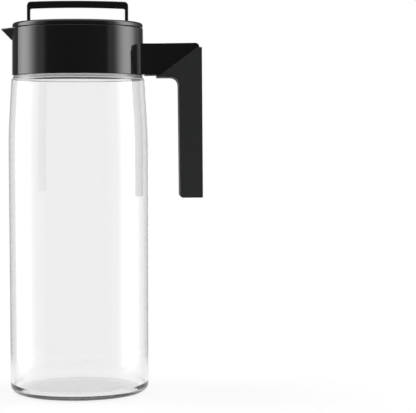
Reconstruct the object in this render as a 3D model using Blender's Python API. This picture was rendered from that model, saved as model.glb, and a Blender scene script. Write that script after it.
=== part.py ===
"""A fridge pitcher of about two litres, in its separate pieces.

A clear jar carries a black collar that snaps over its neck. The collar has the spout
on one side and the handle on the other, and a soft sleeve covers the handle's grip.
The lid drops into the collar and turns there: closed at rest, pouring through an open
window a quarter turn one way, and through a strainer a quarter turn the other way.
A bail on the lid stands up for pulling and turning it, and folds flat either way.

Lengths are in metres. The jar stands on Z = 0 with its axis along Z, the spout
points along -X and the handle along +X.
"""
import math

import bmesh
import bpy
from mathutils import Matrix, Vector

# How round pieces are faceted
RING_SIDES = 56
PIN_SIDES = 16
FINE_STEPS = 1
ARC_STEPS = 3
WIDE_STEPS = 5
FINE_FILLET = 0.001
WIDE_FILLET = 0.004
FLARE_STEPS = 4
CROWN_STEPS = 8
EDGE_SEGMENTS = 2
MERGE_DISTANCE = 0.00001
SMOOTH_ANGLE = math.radians(35)
EDGE_ANGLE = math.radians(50)
PLASTIC_IOR = 1.54

# Clearance where pieces seat on or slide in each other, and what a cutter runs past a face
SEAT_GAP = 0.00032
OVERRUN = 0.002

# Jar: nearly straight sides, drawn in to a shoulder, with a neck ring under the collar
LEDGE_HEIGHT = 0.2369
BELLY_RADIUS = 0.05215
TAPER_HEIGHT = 0.1925
TAPER_FILLET = 0.3
BASE_DRAFT = 0.00035
BASE_FILLET = 0.0058
BASE_THICKNESS = 0.0035
FLOOR_FILLET = 0.0045
JAR_WALL = 0.0024
SHOULDER_STEP = 0.00135
SHOULDER_FILLET = 0.0016
NECK_RING_HEIGHT = 0.0019
NECK_RING_SETBACK = 0.0005
NECK_WALL = 0.0024
LIP_FILLET = 0.0009
INNER_SHOULDER = 0.0015
INNER_NECK_FILLET = 0.0008
EDGE_BREAK = 0.0003

# Snap bead and two keys that hold the collar on the neck and stop it turning
BEAD_RISE = 0.0077
BEAD_PROUD = 0.0007
BEAD_LAND = 0.0008
BEAD_RAMP = 0.0008
KEY_WIDTH = 0.005
KEY_HEIGHT = 0.0042
KEY_PROUD = 0.0009
KEY_ROOT = 0.0007

# Handle collar: a ring round the neck below and a socket for the lid above
COLLAR_RADIUS = 0.0488
COLLAR_DRAFT = 0.0003
COLLAR_WALL = 0.0024
COLLAR_HEIGHT = 0.035
COLLAR_FILLET = 0.0005
SOCKET_CHAMFER = 0.0004
FLANGE_DEPTH = 0.0154
FLANGE_THICKNESS = 0.002
FLANGE_WIDTH = 0.003
GASKET_THICKNESS = 0.0014

# Spout: a pointed beak whose underside rises at about 45 degrees from the collar
SPOUT_REACH = 0.0085
SPOUT_DEPTH = 0.0091
SPOUT_LIP = 0.0007
SPOUT_HALF_WIDTH = 0.0181
SPOUT_ROOT_SINK = 0.0042
SPOUT_APEX_SINK = 0.0006
SPOUT_WALL = 0.002
SPOUT_TIP_FILLET = 0.0015

# Arm and grip core, moulded with the collar
ARM_TOP_DROP = 0.0117
ARM_RISE = 0.0007
ARM_LIFT = 0.0003
ARM_HALF_WIDTH = 0.0123
ARM_ROOT_HALF_WIDTH = 0.0165
ARM_ROOT_SINK = 0.005
ARM_FLARE = 0.013
ARM_EDGE = 0.001
ARM_CORNER_FILLET = 0.003
CORE_WALL = 0.0025
CORE_END_FILLET = 0.0008
HAND_GAP = 0.02315
HAND_FILLET = 0.0056

# Grip sleeve: soft, pulled over the core from below and cut off on a slant at the arm
GRIP_DEPTH = 0.0169
GRIP_DROP = 0.0913
GRIP_INNER_LEAN = 0.0008
GRIP_OUTER_LEAN = 0.0005
GRIP_WALL = 0.0015
GRIP_TOE = 0.016
GRIP_TIP = 0.0034
GRIP_TIP_DROP = 0.0033
GRIP_EDGE = 0.0014
FINGER_EDGE = 0.0056
GRIP_END_FILLET = 0.002

# Lid: a cap with a sunk top, a plug ring under it and two seal rings
RIM_GAP = 0.0004
RIM_INSET = 0.0001
RIM_HEIGHT = 0.0036
RIM_FILLET = 0.0019
RECESS_DEPTH = 0.0045
RECESS_EDGE = 0.0008
RECESS_FILLET = 0.001
PLATE_THICKNESS = 0.0021
CAP_WALL = 0.0016
SKIRT_DEPTH = 0.0012
SKIRT_WALL = 0.0014
SEAL_WIDTH = 0.0012
SEAL_HEIGHT = 0.002
SEAL_EDGE = 0.0004
PLUG_CLEARANCE = 0.0006
PLUG_WALL = 0.0025
PLUG_FOOT = 0.0012
PLUG_CHAMFER = 0.0005

# Pour window on one side of the plug, strainer slots on the other
WINDOW_WIDTH = 0.03
WINDOW_SILL = 0.0012
WINDOW_HEAD = 0.0014
SLOT_COUNT = 9
SLOT_WIDTH = 0.0018
SLOT_PITCH = 0.0036

# Bail: a flat loop with round eyes, whose pins turn in two bosses on the cap
BAIL_RISE = 0.01868
BAIL_BAR = 0.0053
BAIL_LEG = 0.0026
BAIL_DEPTH = 0.0036
BAIL_CROWN = 0.0008
BAIL_CORNER_FILLET = 0.003
BAIL_INNER_FILLET = 0.001
BAIL_EDGE = 0.0007
EYE_RADIUS = 0.0022
EYE_CLEARANCE = 0.0004
EYE_INSET = 0.0001
PIN_RADIUS = 0.0013
PIN_LENGTH = 0.003
BOSS_LENGTH = 0.0049
BOSS_RADIUS = 0.0028

# Heights that follow from the sizes above
SHOULDER_HEIGHT = LEDGE_HEIGHT - NECK_RING_HEIGHT
COLLAR_BOTTOM = LEDGE_HEIGHT + SEAT_GAP
COLLAR_TOP = COLLAR_BOTTOM + COLLAR_HEIGHT
FLANGE_TOP = COLLAR_TOP - FLANGE_DEPTH
FLANGE_BOTTOM = FLANGE_TOP - FLANGE_THICKNESS
GASKET_TOP = FLANGE_BOTTOM - SEAT_GAP
GASKET_BOTTOM = GASKET_TOP - GASKET_THICKNESS
LIP_HEIGHT = GASKET_BOTTOM - SEAT_GAP
BEAD_HEIGHT = LEDGE_HEIGHT + BEAD_RISE
RIM_BOTTOM = COLLAR_TOP + RIM_GAP
RIM_TOP = RIM_BOTTOM + RIM_HEIGHT
RECESS_FLOOR = RIM_TOP - RECESS_DEPTH
PLATE_BOTTOM = RECESS_FLOOR - PLATE_THICKNESS
PIVOT_HEIGHT = RECESS_FLOOR + EYE_RADIUS + EYE_CLEARANCE
PLUG_BOTTOM = FLANGE_TOP + SEAT_GAP
PLUG_TOP = PLATE_BOTTOM - SEAT_GAP
LOWER_GROOVE_BOTTOM = PLUG_BOTTOM + PLUG_FOOT
LOWER_GROOVE_TOP = LOWER_GROOVE_BOTTOM + SEAL_HEIGHT + 2 * SEAT_GAP
UPPER_GROOVE_BOTTOM = RIM_BOTTOM - SEAL_HEIGHT - 2 * SEAT_GAP
ARM_BOTTOM = COLLAR_BOTTOM + ARM_LIFT
ARM_ROOT_TOP = COLLAR_TOP - ARM_TOP_DROP

# Radii that follow from the sizes above
SOCKET_RADIUS = COLLAR_RADIUS - COLLAR_WALL
NECK_RADIUS = SOCKET_RADIUS - SEAT_GAP
NECK_BORE = NECK_RADIUS - NECK_WALL
NECK_RING_RADIUS = COLLAR_RADIUS - NECK_RING_SETBACK
SHOULDER_RADIUS = NECK_RING_RADIUS + SHOULDER_STEP
BASE_RADIUS = BELLY_RADIUS - BASE_DRAFT
FLANGE_BORE = SOCKET_RADIUS - FLANGE_WIDTH
SEAL_OUTER = SOCKET_RADIUS - SEAT_GAP
SEAL_INNER = SEAL_OUTER - SEAL_WIDTH
GROOVE_RADIUS = SEAL_INNER - SEAT_GAP
PLUG_RADIUS = SOCKET_RADIUS - PLUG_CLEARANCE
PLUG_BORE = PLUG_RADIUS - PLUG_WALL
RIM_RADIUS = COLLAR_RADIUS - RIM_INSET
RECESS_RADIUS = GROOVE_RADIUS - CAP_WALL
BAIL_HALF_WIDTH = RECESS_RADIUS - BOSS_LENGTH - SEAT_GAP

# Places along the handle that follow from the sizes above
GRIP_SKIN = GRIP_WALL + SEAT_GAP
GRIP_INNER = BELLY_RADIUS + HAND_GAP
GRIP_OUTER = GRIP_INNER + GRIP_DEPTH
GRIP_BOTTOM = COLLAR_BOTTOM - GRIP_DROP
CORE_INNER = GRIP_INNER + GRIP_SKIN
CORE_OUTER = GRIP_OUTER - GRIP_SKIN
CORE_BOTTOM = GRIP_BOTTOM + GRIP_SKIN
ARM_ROOT = COLLAR_RADIUS - ARM_ROOT_SINK
ARM_OUTER_TOP = ARM_ROOT_TOP + ARM_RISE


def clear_scene():
    for thing in list(bpy.data.objects):
        bpy.data.objects.remove(thing, do_unlink=True)


def moulding(name, colour, roughness, transmission=0.0):
    """A Principled material for one kind of moulding."""
    material = bpy.data.materials.new(name)
    material.use_nodes = True
    shader = material.node_tree.nodes["Principled BSDF"]
    shader.inputs["Base Color"].default_value = (*colour, 1.0)
    shader.inputs["Roughness"].default_value = roughness
    shader.inputs["Metallic"].default_value = 0.0
    shader.inputs["Transmission Weight"].default_value = transmission
    shader.inputs["IOR"].default_value = PLASTIC_IOR
    material.diffuse_color = (*colour, 1.0)
    return material


def rounded_corner(before, corner, after, radius):
    """The points of the arc that replaces one corner of an outline."""
    steps = WIDE_STEPS if radius > WIDE_FILLET else ARC_STEPS
    if radius <= FINE_FILLET:
        steps = FINE_STEPS
    to_before = before - corner
    to_after = after - corner
    half_angle = to_before.angle(to_after) / 2
    reach = radius / math.tan(half_angle)
    longest_reach = min(to_before.length, to_after.length) / 2
    if reach > longest_reach:
        reach = longest_reach
        radius = reach * math.tan(half_angle)
    start = corner + to_before.normalized() * reach
    end = corner + to_after.normalized() * reach
    inward = (to_before.normalized() + to_after.normalized()).normalized()
    centre = corner + inward * (radius / math.sin(half_angle))
    sweep = (start - centre).angle_signed(end - centre)
    arc = []
    for step in range(steps + 1):
        spoke = (start - centre).copy()
        spoke.rotate(Matrix.Rotation(-sweep * step / steps, 2))
        arc.append(centre + spoke)
    return arc


def outline(corners, closed=True):
    """Points of an outline whose corners are given as (across, up, fillet radius)."""
    places = [Vector((across, up)) for across, up, _ in corners]
    points = []
    for index, (_, _, radius) in enumerate(corners):
        is_end = not closed and index in (0, len(corners) - 1)
        if radius == 0 or is_end:
            points.append(places[index])
            continue
        before = places[index - 1]
        after = places[(index + 1) % len(places)]
        points.extend(rounded_corner(before, places[index], after, radius))
    return points


def finish_mesh(name, shape, material):
    """Turn a closed bmesh into an object with outward faces and smooth curves."""
    bmesh.ops.remove_doubles(shape, verts=shape.verts, dist=MERGE_DISTANCE)
    bmesh.ops.recalc_face_normals(shape, faces=shape.faces)
    mesh = bpy.data.meshes.new(name)
    shape.to_mesh(mesh)
    shape.free()
    mesh.shade_smooth()
    mesh.set_sharp_from_angle(angle=SMOOTH_ANGLE)
    piece = bpy.data.objects.new(name, mesh)
    bpy.context.scene.collection.objects.link(piece)
    if material is not None:
        mesh.materials.append(material)
    return piece


def turned(name, profile, material=None, ring=True, axis=(0, 0, 1), sides=RING_SIDES):
    """Turn a profile of (radius, height) points once round an axis through the origin.

    A ring's profile closes on itself, and any other starts and ends on the axis.
    """
    along = Vector(axis)
    out = Vector((1, 0, 0)) if along.x == 0 else Vector((0, 0, 1))
    shape = bmesh.new()
    points = [shape.verts.new(out * radius + along * height) for radius, height in profile]
    ends = points[1:] + points[:1] if ring else points[1:]
    edges = [shape.edges.new(pair) for pair in zip(points, ends)]
    bmesh.ops.spin(
        shape,
        geom=points + edges,
        axis=along,
        cent=(0, 0, 0),
        angle=math.tau,
        steps=sides,
        use_merge=True,
    )
    return finish_mesh(name, shape, material)


def prism(name, points, low, high, material=None, across="X"):
    """Extrude an outline drawn in the XZ plane along Y, or one drawn in YZ along X."""
    shape = bmesh.new()
    if across == "X":
        places = [(point.x, low, point.y) for point in points]
        travel = (0, high - low, 0)
    else:
        places = [(low, point.x, point.y) for point in points]
        travel = (high - low, 0, 0)
    face = shape.faces.new([shape.verts.new(place) for place in places])
    grown = bmesh.ops.extrude_face_region(shape, geom=[face])["geom"]
    moved = [item for item in grown if isinstance(item, bmesh.types.BMVert)]
    bmesh.ops.translate(shape, verts=moved, vec=travel)
    return finish_mesh(name, shape, material)


def block(name, low, high):
    """A plain block between two opposite corners."""
    corners = [(low[0], low[2]), (high[0], low[2]), (high[0], high[2]), (low[0], high[2])]
    points = [Vector(corner) for corner in corners]
    return prism(name, points, low[1], high[1])


def round_edges(piece, width):
    """Round every sharp edge of a piece."""
    bevel = piece.modifiers.new("rounded edges", "BEVEL")
    bevel.width = width
    bevel.segments = EDGE_SEGMENTS
    bevel.limit_method = "ANGLE"
    bevel.angle_limit = EDGE_ANGLE
    bevel.miter_outer = "MITER_ARC"


def round_grip_edges(piece, finger_line, finger_top, finger_edge, edge):
    """Round sharp edges, and those that the fingers close on more than the rest.

    A finger edge lies nearer the jar than the finger line. Its rounding grows from the
    plain one to the wide one down the curve under the arm.
    """
    shape = bmesh.new()
    shape.from_mesh(piece.data)
    weights = shape.edges.layers.float.new("bevel_weight_edge")
    for line in shape.edges:
        if line.calc_face_angle(0) <= EDGE_ANGLE:
            continue
        middle = (line.verts[0].co + line.verts[1].co) / 2
        share = 0
        if middle.x < finger_line:
            share = min(1, max(0, (finger_top - middle.z) / HAND_FILLET))
        line[weights] = (edge + (finger_edge - edge) * share) / finger_edge
    shape.to_mesh(piece.data)
    shape.free()
    round_edges(piece, finger_edge)
    piece.modifiers["rounded edges"].limit_method = "WEIGHT"


def combine(piece, tool, operation):
    """Add a tool's shape to a piece, or cut it away. The tool itself isn't part of the pitcher."""
    tool.hide_render = True
    tool.display_type = "WIRE"
    boolean = piece.modifiers.new(tool.name, "BOOLEAN")
    boolean.object = tool
    boolean.operation = operation
    boolean.solver = "EXACT"


def jar_profile():
    """The jar's outside from the middle of its base to the lip, then the inside back down."""
    bead_foot = BEAD_LAND / 2 + BEAD_RAMP
    bead_crest = BEAD_LAND / 2
    bead_radius = NECK_RADIUS + BEAD_PROUD
    return outline([
        (0, 0, 0),
        (BASE_RADIUS, 0, BASE_FILLET),
        (BELLY_RADIUS, TAPER_HEIGHT, TAPER_FILLET),
        (SHOULDER_RADIUS, SHOULDER_HEIGHT, SHOULDER_FILLET),
        (NECK_RING_RADIUS, SHOULDER_HEIGHT, 0),
        (NECK_RING_RADIUS, LEDGE_HEIGHT, EDGE_BREAK),
        (NECK_RADIUS, LEDGE_HEIGHT, 0),
        (NECK_RADIUS, BEAD_HEIGHT - bead_foot, 0),
        (bead_radius, BEAD_HEIGHT - bead_crest, 0),
        (bead_radius, BEAD_HEIGHT + bead_crest, 0),
        (NECK_RADIUS, BEAD_HEIGHT + bead_foot, 0),
        (NECK_RADIUS, LIP_HEIGHT, LIP_FILLET),
        (NECK_BORE, LIP_HEIGHT, LIP_FILLET),
        (NECK_BORE, LEDGE_HEIGHT - NECK_WALL, INNER_NECK_FILLET),
        (SHOULDER_RADIUS - JAR_WALL, LEDGE_HEIGHT - NECK_WALL, INNER_SHOULDER),
        (BELLY_RADIUS - JAR_WALL, TAPER_HEIGHT, TAPER_FILLET),
        (BASE_RADIUS - JAR_WALL, BASE_THICKNESS, FLOOR_FILLET),
        (0, BASE_THICKNESS, 0),
    ], closed=False)


def key_block(name, side, clearance):
    """One key on the neck, or with a clearance the slot for it, on the side of +X or -X."""
    inner = NECK_RADIUS - KEY_ROOT
    outer = NECK_RADIUS + KEY_PROUD + clearance
    half = KEY_WIDTH / 2 + clearance
    bottom = LEDGE_HEIGHT - KEY_ROOT - clearance
    top = LEDGE_HEIGHT + KEY_HEIGHT + clearance
    low = (min(side * inner, side * outer), -half, bottom)
    high = (max(side * inner, side * outer), half, top)
    return block(name, low, high)


def make_jar(material):
    jar = turned("jar", jar_profile(), material, ring=False)
    combine(jar, key_block("key_front", -1, 0), "UNION")
    combine(jar, key_block("key_back", 1, 0), "UNION")
    return jar


def make_neck_gasket(material):
    profile = outline([
        (NECK_BORE, GASKET_BOTTOM, 0),
        (NECK_RADIUS, GASKET_BOTTOM, 0),
        (NECK_RADIUS, GASKET_TOP, SEAL_EDGE),
        (NECK_BORE, GASKET_TOP, SEAL_EDGE),
    ])
    return turned("neck_gasket", profile, material)


def bore_profile():
    """The space inside the collar: the neck's room, the flange and the lid's socket."""
    bead_foot = BEAD_LAND / 2 + BEAD_RAMP + SEAT_GAP
    bead_crest = BEAD_LAND / 2 + SEAT_GAP
    bead_radius = SOCKET_RADIUS + BEAD_PROUD
    mouth = SOCKET_RADIUS + SOCKET_CHAMFER
    return outline([
        (0, COLLAR_BOTTOM - OVERRUN, 0),
        (mouth, COLLAR_BOTTOM - OVERRUN, 0),
        (mouth, COLLAR_BOTTOM, 0),
        (SOCKET_RADIUS, COLLAR_BOTTOM + SOCKET_CHAMFER, 0),
        (SOCKET_RADIUS, BEAD_HEIGHT - bead_foot, 0),
        (bead_radius, BEAD_HEIGHT - bead_crest, 0),
        (bead_radius, BEAD_HEIGHT + bead_crest, 0),
        (SOCKET_RADIUS, BEAD_HEIGHT + bead_foot, 0),
        (SOCKET_RADIUS, FLANGE_BOTTOM, 0),
        (FLANGE_BORE, FLANGE_BOTTOM, 0),
        (FLANGE_BORE, FLANGE_TOP, 0),
        (SOCKET_RADIUS, FLANGE_TOP, 0),
        (SOCKET_RADIUS, COLLAR_TOP - SOCKET_CHAMFER, 0),
        (mouth, COLLAR_TOP, 0),
        (mouth, COLLAR_TOP + OVERRUN, 0),
        (0, COLLAR_TOP + OVERRUN, 0),
    ], closed=False)


def arm_top(along):
    """Height of the arm's top face, which climbs slightly away from the jar."""
    share = (along - ARM_ROOT) / (CORE_OUTER - ARM_ROOT)
    return ARM_ROOT_TOP + ARM_RISE * share


def core_corners(grow):
    """Corners of the grip core and arm, from the flare round to it, grown on every side."""
    flare_end = COLLAR_RADIUS + ARM_FLARE
    return [
        (flare_end, ARM_BOTTOM - grow, 0),
        (CORE_INNER - grow, ARM_BOTTOM - grow, HAND_FILLET + GRIP_SKIN - grow),
        (CORE_INNER + GRIP_INNER_LEAN - grow, CORE_BOTTOM - grow, CORE_END_FILLET + grow),
        (CORE_OUTER + GRIP_OUTER_LEAN + grow, CORE_BOTTOM - grow, CORE_END_FILLET + grow),
        (CORE_OUTER + grow, ARM_OUTER_TOP + grow, ARM_CORNER_FILLET + grow),
        (flare_end, arm_top(flare_end) + grow, 0),
    ]


def arm_half_width(along):
    """Half the arm's width, which flares out in a curve where it meets the collar."""
    flare_share = (along - ARM_ROOT) / (COLLAR_RADIUS + ARM_FLARE - ARM_ROOT)
    return ARM_HALF_WIDTH + (ARM_ROOT_HALF_WIDTH - ARM_HALF_WIDTH) * (1 - flare_share) ** 2


def make_handle_core(name, grow):
    """The arm and the core of the grip in one solid, grown all over by a clearance."""
    far_outline = outline(core_corners(grow), closed=False)
    flare_end = far_outline[0].x
    stations = [ARM_ROOT + (flare_end - ARM_ROOT) * step / FLARE_STEPS for step in range(FLARE_STEPS)]
    bottom = [Vector((along, ARM_BOTTOM - grow)) for along in stations]
    top = [Vector((along, arm_top(along) + grow)) for along in stations]
    loop = bottom + far_outline + list(reversed(top))
    shape = bmesh.new()
    sides = []
    for hand in (-1, 1):
        verts = []
        for point in loop:
            half = arm_half_width(min(point.x, flare_end)) + grow
            verts.append(shape.verts.new((point.x, hand * half, point.y)))
        sides.append(verts)
    for verts in sides:
        for step in range(FLARE_STEPS):
            shape.faces.new((verts[step], verts[step + 1], verts[-step - 2], verts[-step - 1]))
        shape.faces.new(verts[FLARE_STEPS:-FLARE_STEPS])
    near, far = sides
    for index in range(len(loop)):
        following = (index + 1) % len(loop)
        shape.faces.new((near[index], near[following], far[following], far[index]))
    core = finish_mesh(name, shape, None)
    finger_line = CORE_INNER + GRIP_INNER_LEAN + CORE_END_FILLET / 2
    finger_edge = FINGER_EDGE - GRIP_WALL + grow
    round_grip_edges(core, finger_line, ARM_BOTTOM - GRIP_SKIN, finger_edge, ARM_EDGE + grow)
    return core


def spout_cone(name, shift, overshoot):
    """A cone from a point low on the collar to the beak's outline under its short lip.

    It is shifted towards the jar for the channel, which also runs past the top.
    """
    apex_x = -(COLLAR_RADIUS - SPOUT_APEX_SINK) + shift
    apex_height = COLLAR_TOP - SPOUT_DEPTH - SPOUT_APEX_SINK
    root_x = -(COLLAR_RADIUS - SPOUT_ROOT_SINK)
    beak = outline([
        (root_x + shift, SPOUT_HALF_WIDTH, 0),
        (-(COLLAR_RADIUS + SPOUT_REACH) + shift, 0, SPOUT_TIP_FILLET),
        (root_x + shift, -SPOUT_HALF_WIDTH, 0),
    ])
    shape = bmesh.new()
    tip = shape.verts.new((apex_x, 0, apex_height))
    brim = [shape.verts.new((point.x, point.y, COLLAR_TOP - SPOUT_LIP)) for point in beak]
    top = [shape.verts.new((point.x, point.y, COLLAR_TOP + overshoot)) for point in beak]
    shape.faces.new(top)
    for index in range(len(beak)):
        following = (index + 1) % len(beak)
        shape.faces.new((brim[index], brim[following], tip))
        shape.faces.new((brim[index], brim[following], top[following], top[index]))
    return finish_mesh(name, shape, None)


def core_hollow():
    """The room inside the grip's core, open at its lower end as the mould leaves it."""
    inner_top = CORE_INNER + CORE_WALL
    inner_bottom = inner_top + GRIP_INNER_LEAN
    outer_top = CORE_OUTER - CORE_WALL
    outer_bottom = outer_top + GRIP_OUTER_LEAN
    points = outline([
        (inner_bottom, CORE_BOTTOM - OVERRUN, 0),
        (outer_bottom, CORE_BOTTOM - OVERRUN, 0),
        (outer_top, ARM_ROOT_TOP - CORE_WALL, CORE_END_FILLET),
        (inner_top, ARM_ROOT_TOP - CORE_WALL, CORE_END_FILLET),
    ])
    half = ARM_HALF_WIDTH - CORE_WALL
    return prism("core_hollow", points, -half, half)


def make_handle_collar(material):
    profile = outline([
        (0, COLLAR_BOTTOM, 0),
        (COLLAR_RADIUS + COLLAR_DRAFT, COLLAR_BOTTOM, COLLAR_FILLET),
        (COLLAR_RADIUS, COLLAR_TOP, COLLAR_FILLET),
        (0, COLLAR_TOP, 0),
    ], closed=False)
    collar = turned("handle_collar", profile, material, ring=False)
    combine(collar, make_handle_core("arm_and_core", 0), "UNION")
    combine(collar, spout_cone("spout_beak", 0, 0), "UNION")
    combine(collar, turned("collar_bore", bore_profile(), ring=False), "DIFFERENCE")
    combine(collar, spout_cone("spout_channel", SPOUT_WALL, OVERRUN), "DIFFERENCE")
    combine(collar, key_block("slot_front", -1, SEAT_GAP), "DIFFERENCE")
    combine(collar, key_block("slot_back", 1, SEAT_GAP), "DIFFERENCE")
    combine(collar, core_hollow(), "DIFFERENCE")
    return collar


def grip_points():
    """Side outline of the sleeve, with its slanted end against the arm."""
    underside = ARM_BOTTOM - GRIP_SKIN
    tip_height = ARM_OUTER_TOP - GRIP_TIP_DROP
    return outline([
        (GRIP_INNER - GRIP_TOE, underside, 0),
        (GRIP_INNER, underside, HAND_FILLET),
        (GRIP_INNER + GRIP_INNER_LEAN, GRIP_BOTTOM, GRIP_END_FILLET),
        (GRIP_OUTER + GRIP_OUTER_LEAN, GRIP_BOTTOM, CORE_END_FILLET),
        (GRIP_OUTER, tip_height, 0),
        (GRIP_OUTER - GRIP_TIP, tip_height, 0),
    ])


def make_grip_sleeve(material):
    half = ARM_HALF_WIDTH + GRIP_SKIN
    sleeve = prism("grip_sleeve", grip_points(), -half, half, material)
    finger_line = GRIP_INNER + GRIP_INNER_LEAN + GRIP_END_FILLET / 2
    round_grip_edges(sleeve, finger_line, ARM_BOTTOM - GRIP_SKIN, FINGER_EDGE, GRIP_EDGE)
    combine(sleeve, make_handle_core("grip_pocket", SEAT_GAP), "DIFFERENCE")
    return sleeve


def boss(name, side):
    """A round-topped boss that holds one of the bail's pins."""
    half = BOSS_RADIUS
    bottom = RECESS_FLOOR - PLATE_THICKNESS / 2
    points = outline([
        (-half, bottom, 0),
        (half, bottom, 0),
        (half, PIVOT_HEIGHT + half, half),
        (-half, PIVOT_HEIGHT + half, half),
    ])
    inner = RECESS_RADIUS - BOSS_LENGTH
    outer = RECESS_RADIUS + CAP_WALL / 2
    low = min(side * inner, side * outer)
    high = max(side * inner, side * outer)
    return prism(name, points, low, high, across="Y")


def make_trunnion(name, side):
    """A round eye at the foot of one of the bail's legs, with its pin pointing outwards."""
    eye_inner = BAIL_HALF_WIDTH - BAIL_LEG + EYE_INSET
    eye_outer = BAIL_HALF_WIDTH - EYE_INSET
    pin_end = BAIL_HALF_WIDTH + PIN_LENGTH
    trunnion = turned(name, [
        (0, side * eye_inner),
        (EYE_RADIUS, side * eye_inner),
        (EYE_RADIUS, side * eye_outer),
        (PIN_RADIUS, side * eye_outer),
        (PIN_RADIUS, side * pin_end),
        (0, side * pin_end),
    ], ring=False, axis=(1, 0, 0), sides=PIN_SIDES)
    trunnion.location.z = PIVOT_HEIGHT
    return trunnion


def make_lid_cap(material):
    skirt_radius = PLUG_BORE - SEAT_GAP
    skirt_bottom = PLATE_BOTTOM - SKIRT_DEPTH
    profile = outline([
        (0, PLATE_BOTTOM, 0),
        (skirt_radius - SKIRT_WALL, PLATE_BOTTOM, 0),
        (skirt_radius - SKIRT_WALL, skirt_bottom, 0),
        (skirt_radius, skirt_bottom, 0),
        (skirt_radius, PLATE_BOTTOM, 0),
        (GROOVE_RADIUS, PLATE_BOTTOM, 0),
        (GROOVE_RADIUS, RIM_BOTTOM, 0),
        (RIM_RADIUS, RIM_BOTTOM, EDGE_BREAK),
        (RIM_RADIUS, RIM_TOP, RIM_FILLET),
        (RECESS_RADIUS, RIM_TOP, RECESS_EDGE),
        (RECESS_RADIUS, RECESS_FLOOR, RECESS_FILLET),
        (0, RECESS_FLOOR, 0),
    ], closed=False)
    cap = turned("lid_cap", profile, material, ring=False)
    hole_end = BAIL_HALF_WIDTH + PIN_LENGTH + SEAT_GAP
    for side, word in ((-1, "front"), (1, "back")):
        combine(cap, boss("boss_" + word, side), "UNION")
        drill = turned("pin_hole_" + word, [
            (0, side * (BAIL_HALF_WIDTH - OVERRUN)),
            (PIN_RADIUS + SEAT_GAP, side * (BAIL_HALF_WIDTH - OVERRUN)),
            (PIN_RADIUS + SEAT_GAP, side * hole_end),
            (0, side * hole_end),
        ], ring=False, axis=(1, 0, 0), sides=PIN_SIDES)
        drill.location.z = PIVOT_HEIGHT
        combine(cap, drill, "DIFFERENCE")
    return cap


def window_cutters():
    """The pour window on the +Y side and the strainer's slots on the -Y side."""
    sill = LOWER_GROOVE_TOP + WINDOW_SILL
    head = PLUG_TOP - WINDOW_HEAD
    reach = PLUG_RADIUS + OVERRUN
    half = WINDOW_WIDTH / 2
    inside = math.sqrt(PLUG_BORE ** 2 - half ** 2) - OVERRUN
    cutters = [block("pour_window", (-half, inside, sill), (half, reach, head))]
    for index in range(SLOT_COUNT):
        centre = SLOT_PITCH * (index - (SLOT_COUNT - 1) / 2)
        low = (centre - SLOT_WIDTH / 2, -reach, sill)
        high = (centre + SLOT_WIDTH / 2, -inside, head)
        cutters.append(block("strainer_slot_" + str(index + 1), low, high))
    return cutters


def make_lid_plug(material):
    lip_inner = GROOVE_RADIUS + SEAT_GAP
    profile = outline([
        (PLUG_BORE, PLUG_BOTTOM, PLUG_CHAMFER),
        (PLUG_RADIUS, PLUG_BOTTOM, PLUG_CHAMFER),
        (PLUG_RADIUS, LOWER_GROOVE_BOTTOM, 0),
        (GROOVE_RADIUS, LOWER_GROOVE_BOTTOM, 0),
        (GROOVE_RADIUS, LOWER_GROOVE_TOP, 0),
        (PLUG_RADIUS, LOWER_GROOVE_TOP, 0),
        (PLUG_RADIUS, UPPER_GROOVE_BOTTOM, 0),
        (lip_inner, UPPER_GROOVE_BOTTOM, 0),
        (lip_inner, PLUG_TOP, 0),
        (PLUG_BORE, PLUG_TOP, 0),
    ])
    plug = turned("lid_plug", profile, material)
    for cutter in window_cutters():
        combine(plug, cutter, "DIFFERENCE")
    return plug


def make_seal(name, groove_bottom, material):
    bottom = groove_bottom + SEAT_GAP
    profile = outline([
        (SEAL_INNER, bottom, 0),
        (SEAL_OUTER, bottom, SEAL_EDGE),
        (SEAL_OUTER, bottom + SEAL_HEIGHT, SEAL_EDGE),
        (SEAL_INNER, bottom + SEAL_HEIGHT, 0),
    ])
    return turned(name, profile, material)


def crown(half_width, top):
    """A shallow arch over the bail's bar, from right to left, without its ends."""
    points = []
    for step in range(1, CROWN_STEPS):
        share = 1 - 2 * step / CROWN_STEPS
        points.append((half_width * share, top - BAIL_CROWN * share * share, 0))
    return points


def bail_points():
    """The bail seen from the side of the jar: two legs and a crowned bar, above the pivot."""
    outer = BAIL_HALF_WIDTH
    inner = BAIL_HALF_WIDTH - BAIL_LEG
    under = BAIL_RISE - BAIL_BAR
    corners = [(outer, 0, 0), (outer, BAIL_RISE - BAIL_CROWN, BAIL_CORNER_FILLET)]
    corners += crown(outer, BAIL_RISE)
    corners += [(-outer, BAIL_RISE - BAIL_CROWN, BAIL_CORNER_FILLET), (-outer, 0, 0), (-inner, 0, 0)]
    corners += [(-inner, under - BAIL_CROWN, BAIL_INNER_FILLET)]
    corners += list(reversed(crown(inner, under)))
    corners += [(inner, under - BAIL_CROWN, BAIL_INNER_FILLET), (inner, 0, 0)]
    return outline(corners)


def make_bail(material):
    half = BAIL_DEPTH / 2
    bail = prism("bail", bail_points(), -half, half, material)
    round_edges(bail, BAIL_EDGE)
    combine(bail, make_trunnion("trunnion_front", -1), "UNION")
    combine(bail, make_trunnion("trunnion_back", 1), "UNION")
    bail.location.z = PIVOT_HEIGHT
    return bail


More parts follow.
